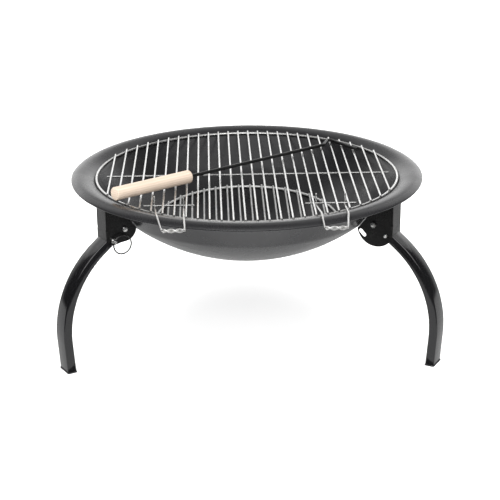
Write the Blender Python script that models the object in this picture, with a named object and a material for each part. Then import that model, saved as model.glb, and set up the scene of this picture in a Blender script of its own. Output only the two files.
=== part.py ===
"""Folding charcoal grill: a round pressed-steel fire bowl on three fold-down legs.

A welded wire cooking grate with two swinging handles seats under the rim, a smaller charcoal grate
seats on the bowl wall below it, and a wood-handled poker lies across the top.

Metres, +Z up. The origin is on the ground, at the middle of the whole outline. The front is -Y.
Heights named "above the grate" are measured from the plane of the cooking grate's ring.
"""

import math

import bmesh
import bpy
from mathutils import Matrix, Vector

MM = 0.001
TOUCH_GAP = 0.3 * MM

# Whole object
GRATE_HEIGHT = 264 * MM
BOWL_Y = -27.6 * MM
ROUND_STEPS = 60

# Fire bowl, one pressed sheet: spherical bottom, straight wall, arched rim, rolled edge
BOWL_GAUGE = 1.2 * MM
BOWL_SPHERE = 310.3 * MM
BOWL_SPHERE_TOP = 205 * MM
BOWL_DEPTH = 127.5 * MM
BOWL_RINGS = 8
SEAT_RADIUS = 240.6 * MM
SEAT_DROP = 3.0 * MM
RIM_INNER = 245.5 * MM
RIM_CREST = 265 * MM
RIM_CREST_RISE = 7.4 * MM
RIM_INNER_ARC = 32 * MM
RIM_OUTER_ARC = 21 * MM
RIM_RADIUS = 280 * MM
BEAD = 1.6 * MM

# Cooking grate
GRATE_RADIUS = 240 * MM
RING_WIRE = 2.0 * MM
BAR_WIRE = 1.5 * MM
BAR_RISE = 2.8 * MM
BAR_COUNT = 26
BAR_PITCH = 17.3 * MM
BAR_OVERHANG = 2 * MM
CROSS_RISE = 0.4 * MM
LONG_CROSS_Y = -7.6 * MM
LONG_CROSS_ENDS = (-223 * MM, 227 * MM)
SHORT_CROSS_Y = -159 * MM
SHORT_CROSS_HALF = 38 * MM

# Grate handles: one bent wire each, hooked under a short cross wire, with a twisted grip
HANDLE_X = 121.2 * MM
HANDLE_WIRE = 1.25 * MM
SECOND_WIRE = 1.15 * MM
HANDLE_WIDTH = 43.5 * MM
GRIP_WIDTH = 33 * MM
GRIP_SHIFT = {"left": 8.7 * MM, "right": -2.0 * MM}
HOOK_RADIUS = 3.4 * MM
TAIL_HEIGHT = 14 * MM
ARCH_REACH = 84 * MM
ARCH_RISE = 12.8 * MM
ARCH_BEND = 20 * MM
GRIP_REACH = 121 * MM
GRIP_RISE = 2.6 * MM
TWIST_RADIUS = 1.9 * MM
TWIST_TURNS = 1.15
TWIST_STEPS = 14
TWIST_INSET = 2.5 * MM
TAIL_SHARE = 0.16

# Charcoal grate
COAL_RADIUS = 150 * MM
COAL_BARS = 14
COAL_PITCH = 19.9 * MM
COAL_GAP = 0.9 * MM
COAL_TILT = math.radians(3.7)
COAL_STEPS = 48

# Poker, placed from the bowl axis and the grate plane
POKER_WOOD_END = Vector((-201.9, -155.0, 18.7)) * MM
POKER_BEND = Vector((134.0, 132.2, 7.4)) * MM
POKER_CORNER = Vector((144.9, 167.1, 7.4)) * MM
POKER_TIP = Vector((187.4, 103.0, 7.4)) * MM
POKER_ROD = 2.8 * MM
POKER_BENDS = [8 * MM, 5 * MM]
WOOD_RADIUS = 10.25 * MM
WOOD_LENGTH = 145 * MM
WOOD_CHAMFER = 1.2 * MM
TANG_LENGTH = 70 * MM

# Legs: rectangular tube, straight past the lock pin, then one arc, then straight to the foot
PIVOT_R = 229.4 * MM
PIVOT_DROP = 45.8 * MM
PIN_REACH = 25.2 * MM
LEG_SLOPE = math.radians(37.6)
LEG_WIDTH = 29.4 * MM
LEG_DEPTH = 14 * MM
LEG_WALL = 1.3 * MM
LEG_CORNER = 1.2 * MM
LEG_INNER_CORNER = 0.7 * MM
LEG_HEEL = 8 * MM
LEG_STRAIGHT = 48.5 * MM
LEG_ARC = 163 * MM
LEG_ARC_END = math.radians(94)
LEG_ARC_STEPS = 14
FOLD_NOTCH = math.radians(38)
HOLE = 3.3 * MM
BOLT_HOLE = 2.8 * MM

# Foot caps
CAP_PLATE = 2.2 * MM
CAP_OVERHANG = 1.0 * MM
CAP_PLUG = 12 * MM

# Brackets: pressed channel, web outwards, a large ear on one side and a small one on the other
BRACKET_OUTER = 260.6 * MM
BRACKET_WIDTH = 33 * MM
BRACKET_GAUGE = 1.5 * MM
BRACKET_BEND = 1.8 * MM
WEB_TOP = 5.1 * MM
WEB_BOTTOM = 59.3 * MM
LARGE_EAR = (233 * MM, -50 * MM, 31 * MM)
LARGE_EAR_START = 4.5 * MM
SMALL_EAR = 20 * MM
SMALL_EAR_PIN = 6.5 * MM
SLOT_CENTRE = (211.0 * MM, -61.8 * MM)
SLOT_LENGTH = 14.5 * MM
SLOT_WIDTH = 6.8 * MM
SLOT_ANGLE = math.radians(-45)
RELIEF_DROP = 44.4 * MM
RELIEF_SIZE = 3.4 * MM

# Fasteners
SHANK = 3.0 * MM
BOLT_SHANK = 2.5 * MM
HEAD_RADIUS = 4.4 * MM
HEAD_HEIGHT = 2.8 * MM
HEAD_EDGE = 1.0 * MM
NUT_FLATS = 8 * MM
NUT_HEIGHT = 4 * MM
BOLT_PAST_NUT = 1.6 * MM
PIN_PAST_EAR = 3.8 * MM
PIN_COLLAR = 3.8 * MM
PIN_COLLAR_HEIGHT = 1.2 * MM
EYE_POST = 2.4 * MM
EYE_HEIGHT = 7.0 * MM
EYE_HOLE = 1.3 * MM
EYE_OFFSET = 4.5 * MM
PULL_RING = 14.8 * MM
PULL_WIRE = 0.9 * MM
PULL_ANGLE = math.radians(209)

STATIONS = {"front_left": -150, "front_right": -30, "rear": 90}


def clear_scene():
    for old in list(bpy.data.objects):
        bpy.data.objects.remove(old, do_unlink=True)


def material(name, colour, roughness, metallic):
    mat = bpy.data.materials.new(name)
    mat.use_nodes = True
    shader = mat.node_tree.nodes["Principled BSDF"]
    shader.inputs["Base Color"].default_value = (*colour, 1.0)
    shader.inputs["Roughness"].default_value = roughness
    shader.inputs["Metallic"].default_value = metallic
    return mat


def add_object(name, mesh, mat=None, parent=None, location=(0, 0, 0), rotation=(0, 0, 0)):
    obj = bpy.data.objects.new(name, mesh)
    bpy.context.scene.collection.objects.link(obj)
    if mat is not None:
        mesh.materials.clear()
        mesh.materials.append(mat)
    obj.parent = parent
    obj.location = location
    obj.rotation_euler = rotation
    return obj


def add_empty(name, location=(0, 0, 0), turn=0.0):
    empty = bpy.data.objects.new(name, None)
    bpy.context.scene.collection.objects.link(empty)
    empty.location = location
    empty.rotation_euler = (0, 0, turn)
    return empty


def to_mesh(bm, name="shape"):
    bmesh.ops.recalc_face_normals(bm, faces=bm.faces)
    mesh = bpy.data.meshes.new(name)
    bm.to_mesh(mesh)
    bm.free()
    return mesh


def shade(mesh, angle=35):
    mesh.shade_smooth()
    mesh.set_sharp_from_angle(angle=math.radians(angle))
    return mesh


def evaluated(obj):
    """The object's mesh with its modifiers or bevel applied; the object itself is removed."""
    depsgraph = bpy.context.evaluated_depsgraph_get()
    mesh = bpy.data.meshes.new_from_object(obj.evaluated_get(depsgraph))
    bpy.data.objects.remove(obj, do_unlink=True)
    return mesh


def boolean(mesh, tool, operation):
    """The mesh after one exact Boolean with the tool mesh."""
    target = add_object("target", mesh)
    cutter = add_object("cutter", tool)
    cutter.hide_render = True
    cutter.display_type = "WIRE"
    step = target.modifiers.new("boolean", "BOOLEAN")
    step.operation = operation
    step.solver = "EXACT"
    step.object = cutter
    result = evaluated(target)
    bpy.data.objects.remove(cutter, do_unlink=True)
    return result


def cut(mesh, tool):
    return boolean(mesh, tool, "DIFFERENCE")


def fuse(mesh, tool):
    return boolean(mesh, tool, "UNION")


def revolve(profile, steps):
    """A profile of (radius, height) points turned round Z. It is closed unless it ends on the axis."""
    bm = bmesh.new()
    points = [bm.verts.new((r, 0, z)) for r, z in profile]
    for first, second in zip(points, points[1:]):
        bm.edges.new((first, second))
    if profile[0][0] > 0:
        bm.edges.new((points[-1], points[0]))
    bmesh.ops.spin(bm, geom=bm.verts[:] + bm.edges[:], cent=(0, 0, 0), axis=(0, 0, 1),
                   angle=2 * math.pi, steps=steps, use_merge=True)
    bmesh.ops.remove_doubles(bm, verts=bm.verts, dist=0.01 * MM)
    return to_mesh(bm)


def extrude(outline, direction):
    """A flat outline of 3-D points pushed along a direction."""
    bm = bmesh.new()
    face = bm.faces.new([bm.verts.new(p) for p in outline])
    grown = bmesh.ops.extrude_face_region(bm, geom=[face])
    moved = [g for g in grown["geom"] if isinstance(g, bmesh.types.BMVert)]
    bmesh.ops.translate(bm, verts=moved, vec=direction)
    return to_mesh(bm)


def side_prism(outline, low, high):
    """A prism across the leg: the outline is (radius, height), its ends are at low and high along Y."""
    return extrude([(r, low, z) for r, z in outline], (0, high - low, 0))


def loft(loops):
    """A solid through loops of equal length, closed at both ends."""
    bm = bmesh.new()
    rows = [[bm.verts.new(p) for p in loop] for loop in loops]
    count = len(rows[0])
    for low, high in zip(rows, rows[1:]):
        for i in range(count):
            j = (i + 1) % count
            bm.faces.new((low[i], low[j], high[j], high[i]))
    bm.faces.new(rows[0])
    bm.faces.new(rows[-1])
    return to_mesh(bm)


def wire(points, radius, resolution=1, cyclic=False):
    """A round wire along a path, from a bevelled curve with filled caps."""
    curve = bpy.data.curves.new("wire", "CURVE")
    curve.dimensions = "3D"
    curve.bevel_depth = radius
    curve.bevel_resolution = resolution
    curve.use_fill_caps = True
    spline = curve.splines.new("POLY")
    spline.points.add(len(points) - 1)
    for target, point in zip(spline.points, points):
        target.co = (*point, 1.0)
    spline.use_cyclic_u = cyclic
    mesh = evaluated(add_object("wire", curve))
    bm = bmesh.new()
    bm.from_mesh(mesh)
    bmesh.ops.remove_doubles(bm, verts=bm.verts, dist=0.001 * MM)
    return to_mesh(bm)


def joined(meshes):
    """Several closed meshes as one mesh, kept as separate shells."""
    bm = bmesh.new()
    for mesh in meshes:
        bm.from_mesh(mesh)
    return to_mesh(bm)


def circle(radius, steps, start=0.0):
    angles = [start + 2 * math.pi * i / steps for i in range(steps)]
    return [(radius * math.cos(a), radius * math.sin(a), 0) for a in angles]


def arc(centre, radius, start, end, steps):
    """Points on an arc in a plane, from one angle to another."""
    angles = [start + (end - start) * i / steps for i in range(steps + 1)]
    return [(centre[0] + radius * math.cos(a), centre[1] + radius * math.sin(a)) for a in angles]


def rounded(corners, radii, steps=5):
    """A path through corners, each inner corner replaced by an arc of its own bend radius."""
    path = [Vector(corners[0])]
    for before, here, after, radius in zip(corners, corners[1:], corners[2:], radii):
        here = Vector(here)
        back = (Vector(before) - here).normalized()
        ahead = (Vector(after) - here).normalized()
        half = back.angle(ahead) / 2
        centre = here + (back + ahead).normalized() * radius / math.sin(half)
        start = here + back * radius / math.tan(half) - centre
        end = here + ahead * radius / math.tan(half) - centre
        for i in range(steps + 1):
            path.append(centre + start.slerp(end, i / steps) * radius)
    path.append(Vector(corners[-1]))
    return path


def turned_to_y(mesh):
    """A shape revolved round Z, laid along +Y instead."""
    mesh.transform(Matrix.Rotation(-math.pi / 2, 4, "X"))
    return mesh


def bar_line(x, y0, y1, z):
    return [(x, y0, z), (x, y1, z)]


def bowl_upper_profile():
    """The upper face of the bowl sheet from its centre to the rolled edge, as (radius, height)."""
    centre = BOWL_SPHERE - BOWL_DEPTH
    end = math.asin(BOWL_SPHERE_TOP / BOWL_SPHERE)
    profile = []
    for i in range(BOWL_RINGS + 1):
        angle = end * i / BOWL_RINGS
        profile.append((BOWL_SPHERE * math.sin(angle), centre - BOWL_SPHERE * math.cos(angle)))
    profile.append((SEAT_RADIUS, -SEAT_DROP))
    inner_centre = (RIM_CREST, RIM_CREST_RISE - RIM_INNER_ARC)
    inner_start = math.pi / 2 + math.asin((RIM_CREST - RIM_INNER) / RIM_INNER_ARC)
    profile += arc(inner_centre, RIM_INNER_ARC, inner_start, math.pi / 2, 3)
    outer_centre = (RIM_CREST, RIM_CREST_RISE - RIM_OUTER_ARC)
    profile += arc(outer_centre, RIM_OUTER_ARC, math.pi / 2, math.pi / 2 - rim_edge_angle(), 3)[1:]
    return profile


def rim_edge_angle():
    """How far the outer arc of the rim turns before its rolled edge."""
    return math.asin((RIM_RADIUS - BEAD - RIM_CREST) / (RIM_OUTER_ARC - BEAD))


def offset_profile(profile, distance):
    """A copy of a profile moved to its lower right side by a distance, mitred at each point."""
    moved = []
    for i, (r, z) in enumerate(profile):
        before = Vector(profile[max(i - 1, 0)])
        after = Vector(profile[min(i + 1, len(profile) - 1)])
        here = Vector((r, z))
        along_in = (here - before).normalized() if i else (after - here).normalized()
        along_out = (after - here).normalized() if i < len(profile) - 1 else along_in
        normal_in = Vector((along_in.y, -along_in.x))
        normal_out = Vector((along_out.y, -along_out.x))
        mitre = (normal_in + normal_out).normalized()
        if i == 0:
            mitre = Vector((0, -1))
        here = here + mitre * distance / max(mitre.dot(normal_in), 0.5)
        moved.append((max(here.x, 0.0) if i else 0.0, here.y))
    return moved


def make_bowl():
    upper = bowl_upper_profile()
    lower = offset_profile(upper, BOWL_GAUGE)
    edge = rim_edge_angle()
    bead_reach = RIM_OUTER_ARC - BEAD
    bead_centre = (RIM_CREST + bead_reach * math.sin(edge),
                   RIM_CREST_RISE - RIM_OUTER_ARC + bead_reach * math.cos(edge))
    bead = arc(bead_centre, BEAD, math.pi / 2 - edge, math.pi / 2 - edge - math.radians(235), 6)
    profile = upper + bead[1:] + lower[-2::-1]
    return shade(revolve(profile, ROUND_STEPS))


def welded_grate(radius, steps, ring_wire, bars, crosses, ring_sides):
    """A ring with bars laid over it and cross wires under the bars, fused as the welds do."""
    ring = wire(circle(radius, steps), ring_wire, ring_sides, cyclic=True)
    mesh = fuse(ring, joined([wire(line, BAR_WIRE) for line in bars]))
    if crosses:
        mesh = fuse(mesh, joined([wire(line, BAR_WIRE) for line in crosses]))
    return shade(mesh, 60)


def parallel_bars(count, pitch, reach):
    """Bars along Y across a circle, spread evenly about its middle."""
    lines = []
    for i in range(count):
        x = (i - (count - 1) / 2) * pitch
        half = math.sqrt(reach * reach - x * x)
        lines.append(bar_line(x, -half, half, BAR_RISE))
    return lines


def make_cooking_grate():
    bars = parallel_bars(BAR_COUNT, BAR_PITCH, GRATE_RADIUS + BAR_OVERHANG)
    crosses = [[(x, LONG_CROSS_Y, CROSS_RISE) for x in LONG_CROSS_ENDS]]
    for side in (-1, 1):
        middle = side * HANDLE_X
        crosses.append([(middle - SHORT_CROSS_HALF, SHORT_CROSS_Y, CROSS_RISE),
                        (middle + SHORT_CROSS_HALF, SHORT_CROSS_Y, CROSS_RISE)])
    return welded_grate(GRATE_RADIUS, ROUND_STEPS, RING_WIRE, bars, crosses, 2)


def make_coal_grate():
    bars = parallel_bars(COAL_BARS, COAL_PITCH, COAL_RADIUS + BAR_OVERHANG / 2)
    return welded_grate(COAL_RADIUS, COAL_STEPS, RING_WIRE, bars, [], 1)


def handle_leg(pivot_x, grip_x):
    """One leg's corners from the tail tip to the grip, with the cross wire as the origin."""
    slope = math.atan2(ARCH_RISE + HOOK_RADIUS, ARCH_REACH)
    hook_low = -HOOK_RADIUS / math.cos(slope) - HOOK_RADIUS * math.tan(slope)
    arch_x = pivot_x + (grip_x - pivot_x) * ARCH_REACH / GRIP_REACH
    return [Vector((pivot_x, HOOK_RADIUS, TAIL_HEIGHT)), Vector((pivot_x, HOOK_RADIUS, hook_low)),
            Vector((arch_x, -ARCH_REACH, ARCH_RISE)), Vector((grip_x, -GRIP_REACH, GRIP_RISE))]


def twist_strand(left, right, phase):
    """One strand of the grip: a slow helix about the line between the two grip corners."""
    points = []
    for i in range(TWIST_STEPS + 1):
        share = i / TWIST_STEPS
        angle = phase + 2 * math.pi * TWIST_TURNS * share
        middle = left.lerp(right, share)
        points.append(middle + Vector((0, math.cos(angle), math.sin(angle))) * TWIST_RADIUS)
    return points


def make_handle(side):
    """The bent wire of a handle, its origin on the cross wire that it hooks under."""
    shift = GRIP_SHIFT[side]
    left = handle_leg(-HANDLE_WIDTH / 2, shift - GRIP_WIDTH / 2)
    right = handle_leg(HANDLE_WIDTH / 2, shift + GRIP_WIDTH / 2)
    inset = Vector((TWIST_INSET, 0, 0))
    strand = twist_strand(left[3] + inset, right[3] - inset, math.pi / 2)
    bends = [HOOK_RADIUS, ARCH_BEND]
    left_leg = rounded(left, bends, 4)
    right_leg = rounded(right, bends, 4)
    main = wire(left_leg + strand + right_leg[::-1], HANDLE_WIRE)
    second = twist_strand(left[3] + inset, right[3] - inset, -math.pi / 2)
    start = left[3].lerp(left[2], TAIL_SHARE)
    end = right[3].lerp(right[2], TAIL_SHARE)
    mesh = fuse(main, wire([start] + second + [end], SECOND_WIRE))
    return shade(mesh, 60)


def poker_axis():
    return (POKER_BEND - POKER_WOOD_END).normalized()


def make_poker_rod():
    """The steel rod: a tang inside the wood, the long rod, and a flat hook laid on the bars."""
    tang = POKER_WOOD_END + poker_axis() * (WOOD_LENGTH - TANG_LENGTH)
    corners = [tang, POKER_BEND, POKER_CORNER, POKER_TIP]
    path = rounded([c - POKER_WOOD_END for c in corners], POKER_BENDS, 6)
    return shade(wire(path, POKER_ROD, 2), 60)


def make_poker_wood():
    """The round wood grip with chamfered ends, bored for the tang."""
    profile = [(0, 0), (WOOD_RADIUS - WOOD_CHAMFER, 0), (WOOD_RADIUS, WOOD_CHAMFER),
               (WOOD_RADIUS, WOOD_LENGTH - WOOD_CHAMFER), (WOOD_RADIUS - WOOD_CHAMFER, WOOD_LENGTH)]
    bore = POKER_ROD + TOUCH_GAP
    floor = WOOD_LENGTH - TANG_LENGTH - 2 * TOUCH_GAP
    profile += [(bore, WOOD_LENGTH), (bore, floor), (0, floor)]
    mesh = revolve(profile, 20)
    mesh.transform(poker_axis().to_track_quat("Z", "Y").to_matrix().to_4x4())
    return shade(mesh, 40)


def leg_point(distance):
    """A point on the leg's middle line, as (radius, height, slope) from the pivot."""
    start = Vector((LEG_STRAIGHT * math.cos(LEG_SLOPE), -LEG_STRAIGHT * math.sin(LEG_SLOPE)))
    if distance <= LEG_STRAIGHT:
        return distance * math.cos(LEG_SLOPE), -distance * math.sin(LEG_SLOPE), LEG_SLOPE
    slope = min(LEG_SLOPE + (distance - LEG_STRAIGHT) / LEG_ARC, LEG_ARC_END)
    r = start.x + LEG_ARC * (math.sin(slope) - math.sin(LEG_SLOPE))
    z = start.y - LEG_ARC * (math.cos(LEG_SLOPE) - math.cos(slope))
    return r, z, slope


def foot_centre():
    """Where the leg's middle line meets the top of the foot cap's plate, from the pivot."""
    arc_length = LEG_ARC * (LEG_ARC_END - LEG_SLOPE)
    r, z, slope = leg_point(LEG_STRAIGHT + arc_length)
    floor = PIVOT_DROP - GRATE_HEIGHT + CAP_PLATE + TOUCH_GAP
    return r + (floor - z) / -math.tan(slope), floor


def rounded_rectangle(width, depth, corner):
    """Half-size offsets of a rectangle with cut corners, as (across, through)."""
    w, d, c = width / 2, depth / 2, corner
    upper = [(w, d - c), (w - c, d), (c - w, d), (-w, d - c)]
    return upper + [(across, -through) for across, through in upper[::-1]]


def leg_loops(section, start, end_drop):
    """Section loops along the leg: heel, start of the arc, arc steps and a level end at the foot."""
    arc_length = LEG_ARC * (LEG_ARC_END - LEG_SLOPE)
    stops = [start, LEG_STRAIGHT]
    stops += [LEG_STRAIGHT + arc_length * (i + 1) / LEG_ARC_STEPS for i in range(LEG_ARC_STEPS)]
    loops = []
    for stop in stops:
        r, z, slope = leg_point(stop)
        out = Vector((math.sin(slope), 0, math.cos(slope)))
        loops.append([Vector((r, across, z)) + out * through for across, through in section])
    foot_r, foot_z = foot_centre()
    loops.append([Vector((foot_r + through, across, foot_z - end_drop)) for across, through in section])
    return loops


def make_leg():
    """The bent tube, its origin on the pivot: bored for the bolt, with an open notch for the lock pin."""
    outer = rounded_rectangle(LEG_WIDTH, LEG_DEPTH, LEG_CORNER)
    inner = rounded_rectangle(LEG_WIDTH - 2 * LEG_WALL, LEG_DEPTH - 2 * LEG_WALL, LEG_INNER_CORNER)
    mesh = cut(loft(leg_loops(outer, -LEG_HEEL, 0.0)), loft(leg_loops(inner, -LEG_HEEL - 2 * MM, 2 * MM)))
    mesh = cut(mesh, side_prism(round_outline((0, 0), BOLT_HOLE), -LEG_WIDTH, LEG_WIDTH))
    mesh = cut(mesh, side_prism(pin_notch(), -LEG_WIDTH, LEG_WIDTH))
    return shade(mesh, 30)


def pin_notch():
    """The path that the fixed lock pin sweeps through the tube as the leg folds inwards."""
    start = -LEG_SLOPE
    pin = (PIN_REACH * math.cos(start), PIN_REACH * math.sin(start))
    outside = arc((0, 0), PIN_REACH + HOLE, start, start + FOLD_NOTCH, 6)
    inside = arc((0, 0), PIN_REACH - HOLE, start + FOLD_NOTCH, start, 6)
    seat = arc(pin, HOLE, start + math.pi, start + 2 * math.pi, 6)
    return outside + inside + seat[1:-1]


def make_foot_cap():
    """A push-in end cap: a thin overhanging plate and a plug inside the tube."""
    plate_width = LEG_WIDTH + 2 * CAP_OVERHANG
    plate_depth = LEG_DEPTH + 2 * CAP_OVERHANG
    plug_width = LEG_WIDTH - 2 * LEG_WALL - 2 * TOUCH_GAP
    plug_depth = LEG_DEPTH - 2 * LEG_WALL - 2 * TOUCH_GAP
    edge = 0.5 * MM
    levels = [(plate_width - 2 * edge, plate_depth - 2 * edge, 0), (plate_width, plate_depth, edge),
              (plate_width, plate_depth, CAP_PLATE), (plug_width, plug_depth, CAP_PLATE),
              (plug_width, plug_depth, CAP_PLATE + CAP_PLUG)]
    loops = []
    for width, depth, height in levels:
        section = rounded_rectangle(width, depth, LEG_CORNER)
        lean = max(height - CAP_PLATE, 0.0) / -math.tan(LEG_ARC_END)
        loops.append([(through + lean, across, height) for across, through in section])
    return shade(loft(loops), 30)


def bracket_outline():
    """The side outline of the bracket with its large ear: web, round ear, then along the bowl."""
    centre_r, centre_z, radius = LARGE_EAR
    web_side = math.asin((BRACKET_OUTER - BRACKET_BEND - centre_r) / radius) - math.pi / 2
    ear_end = math.asin(LARGE_EAR_START / radius) - math.pi
    outline = [(BRACKET_OUTER, WEB_TOP), (BRACKET_OUTER, -WEB_BOTTOM)]
    outline += arc((centre_r, centre_z), radius, web_side, ear_end, 14)
    contour = offset_profile(bowl_upper_profile(), BOWL_GAUGE + TOUCH_GAP)
    low = outline[-1][0] + BRACKET_GAUGE / 2
    outline += [(r, z) for r, z in contour if low < r < BRACKET_OUTER - BRACKET_GAUGE]
    return outline


def small_ear_trim():
    """What is cut from one ear to leave the small one: all below a curve round the pivot and the pin."""
    pivot = Vector((PIVOT_R, -PIVOT_DROP))
    pin = pivot + Vector((math.cos(LEG_SLOPE), -math.sin(LEG_SLOPE))) * PIN_REACH
    tangent = math.asin((SMALL_EAR - SMALL_EAR_PIN) / PIN_REACH)
    down = -LEG_SLOPE - math.pi / 2 + tangent
    curve = arc(pivot, SMALL_EAR, math.radians(-185), down, 8)
    curve += arc(pin, SMALL_EAR_PIN, down, math.radians(-30), 5)
    low = -PIVOT_DROP - 2 * LARGE_EAR[2]
    far_in = PIVOT_R - 3 * SMALL_EAR
    return curve + [(BRACKET_OUTER + 10 * MM, -WEB_BOTTOM - 1 * MM), (BRACKET_OUTER + 10 * MM, low),
                    (far_in, low), (far_in, curve[0][1])]


def round_outline(centre, radius, steps=14):
    return arc(centre, radius, 0, 2 * math.pi * (steps - 1) / steps, steps - 1)


def storage_slot():
    """The slanted slot that takes the lock pin when the leg is folded."""
    half = (SLOT_LENGTH - SLOT_WIDTH) / 2
    along = Vector((math.cos(SLOT_ANGLE), math.sin(SLOT_ANGLE)))
    low = Vector(SLOT_CENTRE) + along * half
    high = Vector(SLOT_CENTRE) - along * half
    quarter = math.pi / 2
    return (arc(low, SLOT_WIDTH / 2, SLOT_ANGLE - quarter, SLOT_ANGLE + quarter, 6)
            + arc(high, SLOT_WIDTH / 2, SLOT_ANGLE + quarter, SLOT_ANGLE + 3 * quarter, 6))


def bevel_web_edges(mesh):
    """The press-bent outer corners between the web and the two ears."""
    bm = bmesh.new()
    bm.from_mesh(mesh)
    edges = [e for e in bm.edges if all(abs(v.co.x - BRACKET_OUTER) < 0.01 * MM for v in e.verts)
             and abs(e.verts[0].co.y - e.verts[1].co.y) < 0.01 * MM]
    bmesh.ops.bevel(bm, geom=edges, offset=BRACKET_BEND, segments=3, profile=0.5, affect="EDGES")
    return to_mesh(bm)


def relief_notch(side):
    """The small V cut at a bend, half-way down the web."""
    bm = bmesh.new()
    bmesh.ops.create_cube(bm, size=RELIEF_SIZE)
    mesh = to_mesh(bm)
    turn = Matrix.Rotation(side * math.radians(45), 4, "Z") @ Matrix.Rotation(math.radians(45), 4, "Y")
    inset = 0.8 * MM
    place = Matrix.Translation((BRACKET_OUTER - inset, side * (BRACKET_WIDTH / 2 - inset), -RELIEF_DROP))
    mesh.transform(place @ turn)
    return mesh


def make_bracket():
    """One bracket in its station's frame: +X away from the bowl axis, +Y towards the small ear."""
    half = BRACKET_WIDTH / 2
    mesh = bevel_web_edges(side_prism(bracket_outline(), -half, half))
    inside_r = BRACKET_OUTER - BRACKET_GAUGE
    inside_half = half - BRACKET_GAUGE
    far_in = PIVOT_R - 3 * SMALL_EAR
    far_out = BRACKET_OUTER + SMALL_EAR
    block = [(far_in, SMALL_EAR), (inside_r, SMALL_EAR), (inside_r, -WEB_BOTTOM), (far_out, -WEB_BOTTOM),
             (far_out, -6 * SMALL_EAR), (far_in, -6 * SMALL_EAR)]
    mesh = cut(mesh, side_prism(block, -inside_half, inside_half))
    margin = 2 * BRACKET_GAUGE
    mesh = cut(mesh, side_prism(small_ear_trim(), half - margin, half + margin))
    pin = (PIVOT_R + PIN_REACH * math.cos(LEG_SLOPE), -PIVOT_DROP - PIN_REACH * math.sin(LEG_SLOPE))
    for centre, radius in (((PIVOT_R, -PIVOT_DROP), BOLT_HOLE), (pin, HOLE)):
        mesh = cut(mesh, side_prism(round_outline(centre, radius), -BRACKET_WIDTH, BRACKET_WIDTH))
    mesh = cut(mesh, side_prism(storage_slot(), -BRACKET_WIDTH, 0))
    for side in (-1, 1):
        mesh = cut(mesh, relief_notch(side))
    return shade(mesh, 30)


def make_pivot_bolt():
    """A domed bolt through both ears and the leg, its head on the small ear."""
    ear = BRACKET_WIDTH / 2 + TOUCH_GAP
    end = -(ear + NUT_HEIGHT + TOUCH_GAP + BOLT_PAST_NUT)
    chamfer = 0.6 * MM
    angles = [math.radians(22.5 * i) for i in range(4)]
    rise = HEAD_HEIGHT - HEAD_EDGE
    dome = [(HEAD_RADIUS * math.cos(a), ear + HEAD_EDGE + rise * math.sin(a)) for a in angles]
    profile = [(0, end), (BOLT_SHANK - chamfer, end), (BOLT_SHANK, end + chamfer), (BOLT_SHANK, ear),
               (HEAD_RADIUS, ear)]
    profile += dome + [(0, ear + HEAD_HEIGHT)]
    return shade(turned_to_y(revolve(profile, 16)), 40)


def make_pivot_nut():
    """A plain hexagon nut on the bolt's far end."""
    low = -(BRACKET_WIDTH / 2 + TOUCH_GAP + NUT_HEIGHT)
    corner = NUT_FLATS / math.sqrt(3)
    mesh = side_prism(round_outline((0, 0), corner, 6), low, low + NUT_HEIGHT)
    hole = side_prism(round_outline((0, 0), BOLT_HOLE), low - NUT_HEIGHT, low + 2 * NUT_HEIGHT)
    return shade(cut(mesh, hole), 30)


def make_lock_pin():
    """The plain pull-out pin: rounded end, shank, small collar, and a head drilled for its ring."""
    ear = BRACKET_WIDTH / 2 + TOUCH_GAP
    end = -(ear + PIN_PAST_EAR)
    angles = [math.radians(22.5 * i) for i in range(5)]
    tip = [(SHANK * math.sin(a), end + SHANK * (1 - math.cos(a))) for a in angles]
    top = ear + PIN_COLLAR_HEIGHT + EYE_HEIGHT
    crown = 1.0 * MM
    profile = tip + [(SHANK, ear), (PIN_COLLAR, ear), (PIN_COLLAR, ear + PIN_COLLAR_HEIGHT),
                     (EYE_POST, ear + PIN_COLLAR_HEIGHT), (EYE_POST, top - crown), (EYE_POST - crown, top),
                     (0, top)]
    mesh = turned_to_y(revolve(profile, 16))
    drill = Vector((-math.sin(PULL_ANGLE), 0, math.cos(PULL_ANGLE)))
    eye = Vector((0, BRACKET_WIDTH / 2 + EYE_OFFSET, 0))
    hole = wire([eye - drill * EYE_HEIGHT, eye + drill * EYE_HEIGHT], EYE_HOLE, 2)
    return shade(cut(mesh, hole), 40)


def make_pull_ring():
    """The wire ring through the pin's eye, its origin in the middle of the eye."""
    centre = Vector((math.cos(PULL_ANGLE), 0, math.sin(PULL_ANGLE))) * PULL_RING
    loop = [centre + Vector((x, 0, z)) for x, z, _ in circle(PULL_RING, 32, PULL_ANGLE)]
    return shade(wire(loop, PULL_WIRE, 1, cyclic=True), 60)


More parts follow.
